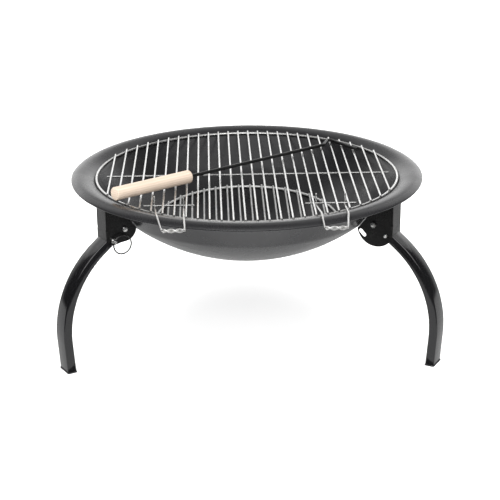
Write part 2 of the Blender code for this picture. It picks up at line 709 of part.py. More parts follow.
def build():
    clear_scene()
    bowl_paint = material("bowl_enamel", (0.045, 0.046, 0.048), 0.38, 0.3)
    leg_paint = material("leg_gloss_black", (0.012, 0.012, 0.013), 0.2, 0.0)
    chrome = material("chrome_wire", (0.78, 0.78, 0.77), 0.18, 1.0)
    zinc = material("zinc_fastener", (0.7, 0.7, 0.69), 0.3, 1.0)
    rubber = material("foot_cap_plastic", (0.02, 0.02, 0.02), 0.6, 0.0)
    rod_paint = material("poker_black", (0.02, 0.02, 0.02), 0.35, 0.2)
    wood = material("poker_wood", (0.82, 0.66, 0.5), 0.6, 0.0)

    axis = (0, BOWL_Y, GRATE_HEIGHT)
    add_object("bowl", make_bowl(), bowl_paint, location=axis)
    grate = add_object("cooking_grate", make_cooking_grate(), chrome, location=axis)
    for side, sign in (("left", -1), ("right", 1)):
        add_object("grate_handle_" + side, make_handle(side), chrome, grate,
                   (sign * HANDLE_X, SHORT_CROSS_Y, CROSS_RISE))

    reach = math.sqrt((BOWL_SPHERE - RING_WIRE - COAL_GAP) ** 2 - COAL_RADIUS ** 2)
    coal_place = (0, BOWL_Y + reach * math.sin(COAL_TILT),
                  GRATE_HEIGHT + BOWL_SPHERE - BOWL_DEPTH - reach * math.cos(COAL_TILT))
    add_object("charcoal_grate", make_coal_grate(), chrome, None, coal_place, (COAL_TILT, 0, 0))

    rod = add_object("poker_rod", make_poker_rod(), rod_paint, None, POKER_WOOD_END + Vector(axis))
    add_object("poker_handle", make_poker_wood(), wood, rod)

    pin_place = (PIVOT_R + PIN_REACH * math.cos(LEG_SLOPE), 0, -PIVOT_DROP - PIN_REACH * math.sin(LEG_SLOPE))
    pivot_place = (PIVOT_R, 0, -PIVOT_DROP)
    foot_r, foot_z = foot_centre()
    shared = {"bracket": (make_bracket(), leg_paint, (0, 0, 0)),
              "leg": (make_leg(), leg_paint, pivot_place),
              "foot_cap": (make_foot_cap(), rubber, (PIVOT_R + foot_r, 0, -GRATE_HEIGHT)),
              "pivot_bolt": (make_pivot_bolt(), zinc, pivot_place),
              "pivot_nut": (make_pivot_nut(), zinc, pivot_place),
              "lock_pin": (make_lock_pin(), zinc, pin_place),
              "pull_ring": (make_pull_ring(), zinc,
                            (pin_place[0], BRACKET_WIDTH / 2 + EYE_OFFSET, pin_place[2]))}
    for station, turn in STATIONS.items():
        frame = add_empty("station_" + station, axis, math.radians(turn))
        for piece, (mesh, mat, place) in shared.items():
            add_object(piece + "_" + station, mesh, mat, frame, place)


build()
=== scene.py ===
"""Looks of the folding charcoal grill: smooth pressed, drawn and turned pieces over the CAD frame.

Metres, +Z up, in the CAD's own frame. Lengths at the top are in millimetres times MM.
"""

import math

import bmesh
import bpy
from mathutils import Matrix, Vector


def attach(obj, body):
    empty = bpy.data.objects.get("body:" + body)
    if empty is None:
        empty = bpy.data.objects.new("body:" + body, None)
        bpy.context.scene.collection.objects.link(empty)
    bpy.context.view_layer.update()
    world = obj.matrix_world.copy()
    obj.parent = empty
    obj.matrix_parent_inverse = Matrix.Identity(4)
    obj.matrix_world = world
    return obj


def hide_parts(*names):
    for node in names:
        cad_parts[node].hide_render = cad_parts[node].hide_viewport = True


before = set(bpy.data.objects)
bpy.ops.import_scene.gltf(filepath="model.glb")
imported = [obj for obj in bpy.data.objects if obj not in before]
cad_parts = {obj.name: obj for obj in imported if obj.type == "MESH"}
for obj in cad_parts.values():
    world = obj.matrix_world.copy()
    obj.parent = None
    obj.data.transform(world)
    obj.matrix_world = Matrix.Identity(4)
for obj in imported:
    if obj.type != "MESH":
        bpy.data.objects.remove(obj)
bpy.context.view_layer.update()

MM = 0.001

# The bowl's axis at the height of the cooking grate's ring, and each leg's direction from it
AXIS = Vector((0.0, -27.6, 264.0)) * MM
AT_AXIS = Matrix.Translation(AXIS)
STATIONS = {"front_left": -150, "front_right": -30, "rear": 90}

# Fire bowl
SHEET = 1.2 * MM
SPHERE = 310.3 * MM
SPHERE_TOP = 205 * MM
BOWL_DEPTH = 127.5 * MM
KNUCKLE_BEND = 40 * MM
SEAT_RADIUS = 240.6 * MM
SEAT_DROP = 3.0 * MM
SEAT_BEND = 6 * MM
RIM_INNER = 245.5 * MM
RIM_CREST = 265 * MM
RIM_RISE = 7.4 * MM
RIM_INNER_ARC = 32 * MM
RIM_OUTER_ARC = 21 * MM
RIM_RADIUS = 280 * MM
HEM = 1.6 * MM
HEM_TURN = math.radians(235)
RIM_EDGE = math.asin((RIM_RADIUS - HEM - RIM_CREST) / (RIM_OUTER_ARC - HEM))

# Wire goods: radii of the wires, heights over the ring's middle
RING_WIRE = 2.0 * MM
BAR_WIRE = 1.5 * MM
BAR_RISE = 2.8 * MM
CROSS_RISE = 0.4 * MM
GRATE_RADIUS = 240 * MM
GRATE_BARS = 26
GRATE_PITCH = 17.3 * MM
GRATE_OVERHANG = 2 * MM
LONG_CROSS = (-223 * MM, 227 * MM, -7.6 * MM)
SHORT_CROSS_Y = -159 * MM
SHORT_CROSS_HALF = 38 * MM
COAL_RADIUS = 150 * MM
COAL_BARS = 14
COAL_PITCH = 19.9 * MM
COAL_OVERHANG = 1 * MM
COAL_GAP = 0.9 * MM
COAL_TILT = math.radians(3.7)
HANDLE_X = 121.2 * MM
HANDLE_WIRE = 1.25 * MM
SECOND_WIRE = 1.15 * MM
HANDLE_WIDTH = 43.5 * MM
GRIP_WIDTH = 33 * MM
GRIP_SHIFT = {"left": 8.7 * MM, "right": -2.0 * MM}
HOOK_RADIUS = 3.4 * MM
TAIL_HEIGHT = 14 * MM
ARCH_REACH = 84 * MM
ARCH_RISE = 12.8 * MM
ARCH_BEND = 20 * MM
ARCH_SHARE = 0.45
GRIP_REACH = 121 * MM
GRIP_RISE = 2.6 * MM
TWIST_RADIUS = 1.9 * MM
TWIST_TURNS = 1.15
TWIST_INSET = 2.5 * MM
TAIL_SHARE = 0.16

# Poker, from the bowl's axis
WOOD_END = Vector((-201.9, -155.0, 18.7)) * MM
POKER_BEND = Vector((134.0, 132.2, 7.4)) * MM
POKER_CORNER = Vector((144.9, 167.1, 7.4)) * MM
POKER_TIP = Vector((187.4, 103.0, 7.4)) * MM
POKER_BENDS = (8 * MM, 5 * MM)
POKER_ROD = 2.8 * MM
WOOD_RADIUS = 10.25 * MM
WOOD_LENGTH = 145 * MM
WOOD_EDGE = 1.6 * MM
TANG = 70 * MM
TANG_ROOM = (0.3 * MM, 0.6 * MM)

# Legs
PIVOT_R = 229.4 * MM
PIVOT_DROP = 45.8 * MM
PIN_REACH = 25.2 * MM
LEG_SLOPE = math.radians(37.6)
PIN = (PIVOT_R + PIN_REACH * math.cos(LEG_SLOPE), -PIVOT_DROP - PIN_REACH * math.sin(LEG_SLOPE))
LEG_WIDTH = 29.4 * MM
LEG_DEPTH = 14 * MM
LEG_WALL = 1.3 * MM
LEG_CORNER = 1.65 * MM
LEG_HEEL = 8 * MM
LEG_STRAIGHT = 48.5 * MM
LEG_ARC = 163 * MM
LEG_ARC_END = math.radians(94)
LEG_CUT_OVER = 2 * MM
FOOT_HEIGHT = 2.5 * MM
HOLE = 3.3 * MM
FOLD_NOTCH = math.radians(38)

# Brackets
BRACKET_OUTER = 260.6 * MM
BRACKET_WIDTH = 33 * MM
BRACKET_GAUGE = 1.5 * MM
BRACKET_BEND = 1.8 * MM
WEB_TOP = 5.1 * MM
WEB_BOTTOM = 59.3 * MM
LARGE_EAR = (233 * MM, -50 * MM, 31 * MM)
LARGE_EAR_START = 4.5 * MM
SMALL_EAR = 20 * MM
SMALL_EAR_PIN = 6.5 * MM
SLOT_CENTRE = (211.0 * MM, -61.8 * MM)
SLOT_LENGTH = 14.5 * MM
SLOT_WIDTH = 6.8 * MM
SLOT_ANGLE = math.radians(-45)
RELIEF_DROP = 44.4 * MM
RELIEF_SIZE = 3.4 * MM
RELIEF_INSET = 0.8 * MM
TOUCH_GAP = 0.3 * MM

# Fasteners
EAR_FACE = BRACKET_WIDTH / 2 + TOUCH_GAP
SHANK = 3.0 * MM
BOLT_SHANK = 2.5 * MM
BOLT_HOLE = 2.8 * MM
BOLT_POINT = 0.7 * MM
THREAD_PITCH = 0.8 * MM
THREAD_DEPTH = 0.35 * MM
HEAD_RADIUS = 4.4 * MM
HEAD_HEIGHT = 2.8 * MM
HEAD_EDGE = 1.0 * MM
RECESS = (4.4 * MM, 3.0 * MM, 0.9 * MM)
RECESS_TURN = 0.35
NUT_FLATS = 8 * MM
NUT_HEIGHT = 4 * MM
NUT_CHAMFER = 0.75 * MM
BOLT_PAST_NUT = 1.6 * MM
PIN_PAST_EAR = 3.8 * MM
PIN_COLLAR = 3.8 * MM
PIN_COLLAR_HEIGHT = 1.2 * MM
COLLAR_EDGE = 0.3 * MM
EYE_POST = 2.4 * MM
EYE_CROWN = 1.0 * MM
EYE_HEIGHT = 7.0 * MM
EYE_HOLE = 1.6 * MM
EYE_SIDE = 21 * MM
PULL_RING = 14.8 * MM
PULL_WIRE = 1.15 * MM
PULL_ANGLE = math.radians(209)

# Foot caps: the plate's edge is given by inset and height, in millimetres
CAP_EDGE = ((0.9, 0.0), (0.45, 0.12), (0.15, 0.35), (0.0, 0.7), (0.0, 1.7), (0.12, 2.0), (0.35, 2.2))
CAP_CORNER = 2.6 * MM
CAP_PLATE = 2.2 * MM
CAP_OVERHANG = 1.0 * MM
CAP_PLUG = 12 * MM
PLUG_CORNER = 1.0 * MM

# Studio: the brightness of each part of the room, then where it starts and ends by direction: across,
# towards its top and towards its bottom
ROOM_LIGHT = 0.05
WALL = (1.6, (0.5, 0.75), (0.5, 0.33), (-0.4, -0.2))
TABLE = (0.65, (-0.5, 0.35), (-0.05, -0.12), (-1.5, -1.4))
GROUND = (0.65, (-0.7, 0.1), (-0.6, -0.9), (-1.5, -1.4))
FRONT = (0.04, (0.1, -0.35), (0.4, 0.2), (-1.5, -1.4))
DOME = (1.2, (0.1, -0.3), (1.4, 1.2), (0.35, 0.7))
HIGH_WALL = (0.6, (0.38, 0.6), (1.4, 1.2), (0.4, 0.6))
WHITE = (1.0, 1.0, 1.0, 1.0)

# Camera, from the bowl's axis; its focal length is in pixels of a picture so wide
CAMERA_PLACE = Vector((-58.7, -2156.2, 663.7)) * MM
CAMERA_AZIMUTH, CAMERA_ELEVATION, CAMERA_ROLL = (math.radians(angle) for angle in (1.67, 20.23, -0.45))
FOCAL_LENGTH = 1405.0
PICTURE_WIDTH = 500.0
SENSOR_WIDTH = 36.0


# Node helpers

def add_node(tree, kind, **settings):
    """One node. Each setting is a property, or an input with its spaces as underscores: a value or a socket."""
    node = tree.nodes.new(kind)
    for name, value in settings.items():
        if hasattr(node, name):
            setattr(node, name, value)
        elif isinstance(value, bpy.types.NodeSocket):
            tree.links.new(value, node.inputs[name.replace("_", " ")])
        else:
            node.inputs[name.replace("_", " ")].default_value = value
    return node


def put(tree, kind, **settings):
    """The first output of a new node."""
    return add_node(tree, kind, **settings).outputs[0]


def maths(tree, operation, first, second=0.0):
    """The result of a math node; each side is a number or a socket."""
    node = add_node(tree, "ShaderNodeMath", operation=operation)
    for slot, side in zip(node.inputs, (first, second)):
        if isinstance(side, (int, float)):
            slot.default_value = side
        else:
            tree.links.new(side, slot)
    return node.outputs[0]


def ramp(tree, value, low, high, kind="SMOOTHSTEP", **ends):
    """A value's place between low and high, from 0 to 1 unless other ends are given."""
    return put(tree, "ShaderNodeMapRange", interpolation_type=kind, Value=value, From_Min=low, From_Max=high, **ends)


def start_group(name, kind, inputs, output, output_kind):
    """A node group, its given sockets and its result. Each input is a default number or its socket's kind."""
    tree = bpy.data.node_groups.new(name, kind)
    for label, given in inputs.items():
        socket_kind = given if isinstance(given, str) else {int: "Int", float: "Float"}[type(given)]
        socket = tree.interface.new_socket(label, in_out="INPUT", socket_type="NodeSocket" + socket_kind)
        if not isinstance(given, str):
            socket.default_value = given
    tree.interface.new_socket(output, in_out="OUTPUT", socket_type="NodeSocket" + output_kind)
    return tree, tree.nodes.new("NodeGroupInput").outputs, tree.nodes.new("NodeGroupOutput").inputs[output]


# Shared surface effects

def mottle_group():
    """Soft uneven patches as a value between Low and High."""
    tree, given, result = start_group(
        "mottle", "ShaderNodeTree",
        {"Vector": "Vector", "Scale": 20.0, "Detail": 4.0, "Low": 0.0, "High": 1.0}, "Value", "Float")
    noise = put(tree, "ShaderNodeTexNoise", Roughness=0.55, Vector=given["Vector"], Scale=given["Scale"],
                Detail=given["Detail"])
    tree.links.new(ramp(tree, noise, 0.3, 0.7, To_Min=given["Low"], To_Max=given["High"]), result)
    return tree


def scuff_group():
    """Sparse fine scuff lines as a mask."""
    tree, given, result = start_group(
        "scuff_lines", "ShaderNodeTree", {"Vector": "Vector", "Scale": 60.0, "Amount": 0.5}, "Mask", "Float")
    stretch = put(tree, "ShaderNodeMapping", Rotation=(0.4, 0.9, 0.6), Scale=(1.0, 0.06, 1.0), Vector=given["Vector"])
    lines = put(tree, "ShaderNodeTexNoise", Detail=2.0, Vector=stretch, Scale=given["Scale"])
    thin = ramp(tree, maths(tree, "ABSOLUTE", maths(tree, "SUBTRACT", lines, 0.5)), 0.006, 0.0, "LINEAR")
    patch = ramp(tree, put(tree, "ShaderNodeTexNoise", Scale=14.0, Detail=1.0, Vector=given["Vector"]), 0.52, 0.68)
    tree.links.new(maths(tree, "MULTIPLY", maths(tree, "MULTIPLY", thin, patch), given["Amount"]), result)
    return tree


def dust_group():
    """A faint settled dust mask, strongest on faces that look up."""
    tree, given, result = start_group(
        "settled_dust", "ShaderNodeTree", {"Vector": "Vector", "Amount": 0.2}, "Mask", "Float")
    normal = tree.nodes.new("ShaderNodeNewGeometry").outputs["Normal"]
    up = ramp(tree, add_node(tree, "ShaderNodeSeparateXYZ", Vector=normal).outputs["Z"], 0.2, 0.95)
    cloud = put(tree, "ShaderNodeTexNoise", Scale=38.0, Detail=6.0, Roughness=0.7, Vector=given["Vector"])
    tree.links.new(maths(tree, "MULTIPLY", maths(tree, "MULTIPLY", up, cloud), given["Amount"]), result)
    return tree


MOTTLE = mottle_group()
SCUFF = scuff_group()
DUST = dust_group()


def place_group(tree, group, vector, **values):
    return put(tree, "ShaderNodeGroup", node_tree=group, Vector=vector, **values)


def start_material(name, roughness, metallic=0.0, coat=0.0):
    """A material with constants on its shader; returns it with its tree, shader and object coordinates."""
    mat = bpy.data.materials.new(name)
    mat.use_nodes = True
    shader = mat.node_tree.nodes["Principled BSDF"]
    for label, value in (("Roughness", roughness), ("Metallic", metallic), ("Coat Weight", coat),
                         ("Coat Roughness", 0.08)):
        shader.inputs[label].default_value = value
    return mat, mat.node_tree, shader, mat.node_tree.nodes.new("ShaderNodeTexCoord").outputs["Object"]


def blend(tree, mask, first, second):
    """Two colours mixed by a mask; the first may be a socket."""
    mix = add_node(tree, "ShaderNodeMix", data_type="RGBA")
    if isinstance(first, bpy.types.NodeSocket):
        tree.links.new(first, mix.inputs[6])
    else:
        mix.inputs[6].default_value = (*first, 1.0)
    mix.inputs[7].default_value = (*second, 1.0)
    tree.links.new(mask, mix.inputs[0])
    return mix.outputs[2]


def bump(tree, shader, height, strength, distance):
    normal = put(tree, "ShaderNodeBump", Strength=strength, Distance=distance, Height=height)
    tree.links.new(normal, shader.inputs["Normal"])


def grain(tree, shader, here, scale, detail, strength, distance):
    """Fine bumps all over."""
    bump(tree, shader, put(tree, "ShaderNodeTexNoise", Scale=scale, Detail=detail, Vector=here), strength, distance)


def painted_steel(name, dark, light, rough, peel_scale, peel, dust, scuff, coat=0.0):
    """Sprayed paint on steel: uneven tone and gloss, orange peel, faint dust and scuffs."""
    mat, tree, shader, here = start_material(name, rough[0], coat=coat)
    colour = blend(tree, place_group(tree, MOTTLE, here, Scale=9.0, Detail=3.0), dark, light)
    colour = blend(tree, place_group(tree, DUST, here, Amount=dust), colour, (0.30, 0.29, 0.28))
    marks = place_group(tree, SCUFF, here, Scale=90.0, Amount=scuff)
    tree.links.new(blend(tree, marks, colour, (0.16, 0.16, 0.16)), shader.inputs["Base Color"])
    gloss = place_group(tree, MOTTLE, here, Scale=26.0, Detail=5.0, Low=rough[0], High=rough[1])
    tree.links.new(maths(tree, "ADD", gloss, maths(tree, "MULTIPLY", marks, 0.25)), shader.inputs["Roughness"])
    grain(tree, shader, here, peel_scale, 2.0, peel, 0.0002)
    return mat


def plated_wire(name, colour, dull, rough, scale, metallic=1.0):
    """Bright plating with drawn-wire streaks and slightly dull patches."""
    mat, tree, shader, here = start_material(name, rough[0], metallic)
    tone = place_group(tree, MOTTLE, here, Scale=scale, Detail=4.0)
    tree.links.new(blend(tree, tone, colour, dull), shader.inputs["Base Color"])
    gloss = place_group(tree, MOTTLE, here, Scale=scale * 6.0, Detail=3.0, Low=rough[0], High=rough[1])
    marks = place_group(tree, SCUFF, here, Scale=220.0, Amount=0.3)
    tree.links.new(maths(tree, "ADD", gloss, marks), shader.inputs["Roughness"])
    grain(tree, shader, here, 1400.0, 2.0, 0.04, 0.0001)
    return mat


def bare_wood():
    """Pale turned wood: long grain, pores and growth rings that show on the cut ends."""
    mat, tree, shader, here = start_material("poker_wood", 0.6)
    turn_back = poker_turn().inverted().to_euler("XYZ")
    along = put(tree, "ShaderNodeMapping", Rotation=turn_back, Vector=here)
    heart = put(tree, "ShaderNodeMapping", Location=(0.016, 0.011, 0.0), Scale=(1.0, 1.0, 0.05), Vector=along)
    rings = add_node(tree, "ShaderNodeTexWave", wave_type="RINGS", rings_direction="Z", Scale=95.0, Distortion=1.6,
                     Detail=2.0, Detail_Scale=1.4, Vector=heart)
    stretch = put(tree, "ShaderNodeMapping", Scale=(1.0, 1.0, 0.045), Vector=along)
    fibre = put(tree, "ShaderNodeTexNoise", Scale=620.0, Detail=5.0, Roughness=0.65, Vector=stretch)
    colour = blend(tree, rings.outputs["Fac"], (0.55, 0.46, 0.38), (0.485, 0.39, 0.305))
    colour = blend(tree, ramp(tree, fibre, 0.42, 0.72, "LINEAR", To_Max=0.45), colour, (0.41, 0.31, 0.235))
    soil = place_group(tree, MOTTLE, here, Scale=30.0, Detail=4.0, High=0.12)
    tree.links.new(blend(tree, soil, colour, (0.345, 0.27, 0.215)), shader.inputs["Base Color"])
    gloss = place_group(tree, MOTTLE, here, Scale=60.0, Detail=3.0, Low=0.52, High=0.68)
    tree.links.new(gloss, shader.inputs["Roughness"])
    bump(tree, shader, fibre, 0.25, 0.0002)
    return mat


def moulded_plastic():
    mat, tree, shader, here = start_material("foot_cap_plastic", 0.55)
    tone = place_group(tree, MOTTLE, here, Scale=60.0, Detail=3.0)
    tree.links.new(blend(tree, tone, (0.012, 0.012, 0.012), (0.02, 0.02, 0.02)), shader.inputs["Base Color"])
    gloss = place_group(tree, MOTTLE, here, Scale=120.0, Detail=4.0, Low=0.48, High=0.62)
    tree.links.new(gloss, shader.inputs["Roughness"])
    grain(tree, shader, here, 2600.0, 3.0, 0.3, 0.0001)
    return mat


def floor_paper():
    mat, tree, shader, here = start_material("floor_paper", 0.9)
    tone = place_group(tree, MOTTLE, here, Scale=3.0, Detail=2.0)
    tree.links.new(blend(tree, tone, (0.86, 0.86, 0.86), (0.88, 0.88, 0.88)), shader.inputs["Base Color"])
    shader.inputs["Emission Color"].default_value = WHITE
    shader.inputs["Emission Strength"].default_value = 0.3
    return mat


# Geometry Nodes

def finish_tree(tree, given, shape, result):
    """Realize Instances, then Set Material, into the tree's result."""
    real = put(tree, "GeometryNodeRealizeInstances", Geometry=shape)
    tree.links.new(put(tree, "GeometryNodeSetMaterial", Geometry=real, Material=given["Finish"]), result)
    return tree


def swept(tree, path, radius, sides, capped=True):
    """Round wire along a path."""
    section = put(tree, "GeometryNodeCurvePrimitiveCircle", Resolution=sides, Radius=radius)
    return put(tree, "GeometryNodeCurveToMesh", Curve=path, Profile_Curve=section, Fill_Caps=capped)


def together(tree, *shapes):
    node = tree.nodes.new("GeometryNodeJoinGeometry")
    for shape in shapes:
        tree.links.new(shape, node.inputs[0])
    return node.outputs[0]


def wire_tree():
    """Round wire along the object's own splines, with cut ends."""
    tree, given, result = start_group(
        "wire_along_path", "GeometryNodeTree",
        {"Path": "Geometry", "Wire radius": 0.0015, "Sides": 16, "Finish": "Material"}, "Wire", "Geometry")
    return finish_tree(tree, given, swept(tree, given["Path"], given["Wire radius"], given["Sides"]), result)


def grate_tree():
    """A round wire ring, evenly pitched bars cut to the ring, and a weld at each bar end."""
    tree, given, result = start_group(
        "welded_grate", "GeometryNodeTree",
        {"Start": "Geometry", "Ring radius": 0.24, "Ring wire": 0.002, "Bar wire": 0.0015, "Bar count": 26,
         "Bar pitch": 0.0173, "Bar rise": 0.0028, "Bar overhang": 0.002, "Weld size": 0.0021, "Sides": 14,
         "Finish": "Material"}, "Grate", "Geometry")
    circle = put(tree, "GeometryNodeCurvePrimitiveCircle", Resolution=288, Radius=given["Ring radius"])
    ring = swept(tree, circle, given["Ring wire"], given["Sides"], capped=False)

    half_span = maths(tree, "MULTIPLY", maths(tree, "SUBTRACT", given["Bar count"], 1.0),
                      maths(tree, "MULTIPLY", given["Bar pitch"], -0.5))
    row = put(tree, "GeometryNodeMeshLine", Count=given["Bar count"],
              Start_Location=put(tree, "ShaderNodeCombineXYZ", X=half_span, Z=given["Bar rise"]),
              Offset=put(tree, "ShaderNodeCombineXYZ", X=given["Bar pitch"]))
    position = put(tree, "GeometryNodeInputPosition")
    sideways = add_node(tree, "ShaderNodeSeparateXYZ", Vector=position).outputs["X"]

    def half_chord(radius):
        """Half the length of a bar that ends at a radius from the grate's middle."""
        square = maths(tree, "SUBTRACT", maths(tree, "POWER", radius, 2.0), maths(tree, "POWER", sideways, 2.0))
        return maths(tree, "SQRT", square)

    reach = maths(tree, "ADD", given["Ring radius"], given["Bar overhang"])
    unit = put(tree, "GeometryNodeCurvePrimitiveLine", Start=(0.0, -1.0, 0.0), End=(0.0, 1.0, 0.0))
    laid = put(tree, "GeometryNodeInstanceOnPoints", Points=row, Instance=unit,
               Scale=put(tree, "ShaderNodeCombineXYZ", X=1.0, Y=half_chord(reach), Z=1.0))
    paths = put(tree, "GeometryNodeRealizeInstances", Geometry=laid)
    bars = swept(tree, paths, given["Bar wire"], given["Sides"])

    half = half_chord(given["Ring radius"])
    drop = maths(tree, "MULTIPLY", given["Bar rise"], -0.45)
    ends = [put(tree, "GeometryNodeSetPosition", Geometry=row,
                Offset=put(tree, "ShaderNodeCombineXYZ", Y=maths(tree, "MULTIPLY", half, side), Z=drop))
            for side in (-1.0, 1.0)]
    bead = put(tree, "GeometryNodeMeshUVSphere", Segments=12, Rings=8, Radius=given["Weld size"])
    welds = put(tree, "GeometryNodeInstanceOnPoints", Points=together(tree, *ends), Instance=bead,
                Scale=(1.0, 1.15, 0.62))
    return finish_tree(tree, given, together(tree, ring, bars, welds), result)


def bar_tree():
    """A solid rectangular bar with rounded edges along the object's own spline."""
    tree, given, result = start_group(
        "rectangular_bar", "GeometryNodeTree",
        {"Path": "Geometry", "Width": 0.027, "Depth": 0.014, "Corner": 0.002, "Finish": "Material"},
        "Bar", "Geometry")
    section = put(tree, "GeometryNodeCurvePrimitiveQuadrilateral", mode="RECTANGLE", Width=given["Width"],
                  Height=given["Depth"])
    section = put(tree, "GeometryNodeFilletCurve", mode="POLY", Count=5, Curve=section, Radius=given["Corner"])
    bar = put(tree, "GeometryNodeCurveToMesh", Curve=given["Path"], Profile_Curve=section, Fill_Caps=True)
    return finish_tree(tree, given, bar, result)


# Mesh helpers

def in_scene(name, data):
    obj = bpy.data.objects.new(name, data)
    bpy.context.scene.collection.objects.link(obj)
    return obj


def applied(obj, *tools):
    """The plain mesh of an object with its modifiers. The object and its tools are removed."""
    mesh = bpy.data.meshes.new_from_object(obj.evaluated_get(bpy.context.evaluated_depsgraph_get()))
    for used in (obj, *tools):
        bpy.data.objects.remove(used, do_unlink=True)
    return mesh


def grow(tree, name, paths, cyclic=False, **values):
    """The mesh that a Geometry Nodes tree makes from straight-segment splines, one for each list of points."""
    curve = bpy.data.curves.new(name, "CURVE")
    curve.dimensions = "3D"
    for points in paths:
        spline = curve.splines.new("POLY")
        spline.points.add(len(points) - 1)
        for target, point in zip(spline.points, points):
            target.co = (*point, 1.0)
        spline.use_cyclic_u = cyclic
    obj = in_scene(name, curve)
    modifier = obj.modifiers.new("nodes", "NODES")
    modifier.node_group = tree
    for item in tree.interface.items_tree:
        if item.in_out == "INPUT" and item.name.replace(" ", "_") in values:
            modifier[item.identifier] = values[item.name.replace(" ", "_")]
    return applied(obj)


def smooth(mesh, angle=60):
    mesh.shade_smooth()
    mesh.set_sharp_from_angle(angle=math.radians(angle))
    return mesh


def add_piece(name, mesh, mat, body, node, place=AT_AXIS):
    """A finished piece at the origin that rides on its body and stands for its CAD node."""
    mesh.transform(place)
    mesh.materials.clear()
    mesh.materials.append(mat)
    obj = in_scene(name, mesh)
    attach(obj, body)
    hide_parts(node)


def add_at_legs(name, mesh, mat, body, slot, node, r=0.0, side=0.0, height=0.0):
    """One copy of a piece at each leg, from the leg's own frame, with +X away from the bowl's axis."""
    for station, turn in STATIONS.items():
        place = AT_AXIS @ Matrix.Rotation(math.radians(turn), 4, "Z") @ Matrix.Translation((r, side, height))
        rides_on = body + station if body.endswith("_") else body
        add_piece(name + station, mesh.copy(), mat, rides_on, node + station, place)


def to_mesh(bm, name):
    mesh = bpy.data.meshes.new(name)
    bm.to_mesh(mesh)
    bm.free()
    return mesh


def cut(mesh, tool, operation="DIFFERENCE"):
    """One exact Boolean between two closed meshes."""
    target, cutter = in_scene("target", mesh), in_scene("cutter", tool)
    step = target.modifiers.new("boolean", "BOOLEAN")
    step.operation = operation
    step.solver = "EXACT"
    step.object = cutter
    return applied(target, cutter)


def soften(mesh, width, angle, segments=2):
    """Small rounds on every edge sharper than an angle."""
    mesh.shade_smooth()
    obj = in_scene("softened", mesh)
    step = obj.modifiers.new("bevel", "BEVEL")
    step.width = width
    step.segments = segments
    step.limit_method = "ANGLE"
    step.angle_limit = math.radians(angle)
    step.use_clamp_overlap = True
    obj.modifiers.new("normals", "WEIGHTED_NORMAL").weight = 90
    return applied(obj)


def revolve(profile, steps):
    """A (radius, height) profile turned round Z, closed at the axis or on itself."""
    bm = bmesh.new()
    points = [bm.verts.new((r, 0, z)) for r, z in profile]
    for first, second in zip(points, points[1:]):
        bm.edges.new((first, second))
    if profile[0][0] > 0:
        bm.edges.new((points[-1], points[0]))
    bmesh.ops.spin(bm, geom=bm.verts[:] + bm.edges[:], cent=(0, 0, 0), axis=(0, 0, 1),
                   angle=2 * math.pi, steps=steps, use_merge=True)
    bmesh.ops.remove_doubles(bm, verts=bm.verts, dist=0.01 * MM)
    bmesh.ops.recalc_face_normals(bm, faces=bm.faces)
    return to_mesh(bm, "revolved")


def turned_part(profile, steps=48):
    """A shape turned round its own axis, laid along +Y."""
    mesh = revolve(profile, steps)
    mesh.transform(Matrix.Rotation(-math.pi / 2, 4, "X"))
    return mesh


def prism(outline, low, high):
    """A (radius, height) outline pushed across the leg, from low to high along Y."""
    bm = bmesh.new()
    face = bm.faces.new([bm.verts.new((r, low, z)) for r, z in outline])
    grown = bmesh.ops.extrude_face_region(bm, geom=[face])
    moved = [g for g in grown["geom"] if isinstance(g, bmesh.types.BMVert)]
    bmesh.ops.translate(bm, verts=moved, vec=(0, high - low, 0))
    bmesh.ops.recalc_face_normals(bm, faces=bm.faces)
    return to_mesh(bm, "prism")


def block(size):
    bm = bmesh.new()
    bmesh.ops.create_cube(bm, size=size)
    return to_mesh(bm, "block")


def arc(centre, radius, start, end, steps):
    angles = [start + (end - start) * i / steps for i in range(steps + 1)]
    return [(centre[0] + radius * math.cos(a), centre[1] + radius * math.sin(a)) for a in angles]


def round_outline(centre, radius, steps=32):
    return arc(centre, radius, 0, 2 * math.pi * (steps - 1) / steps, steps - 1)


def rounded(corners, radii, steps=12):
    """A path through corners, each inner corner replaced by an arc of its own bend radius."""
    path = [Vector(corners[0])]
    for before, here, after, radius in zip(corners, corners[1:], corners[2:], radii):
        here = Vector(here)
        back = (Vector(before) - here).normalized()
        ahead = (Vector(after) - here).normalized()
        half = back.angle(ahead) / 2
        centre = here + (back + ahead).normalized() * radius / math.sin(half)
        start = here + back * radius / math.tan(half) - centre
        end = here + ahead * radius / math.tan(half) - centre
        path += [centre + start.slerp(end, i / steps) * radius for i in range(steps + 1)]
    return path + [Vector(corners[-1])]


# Bowl and wire goods

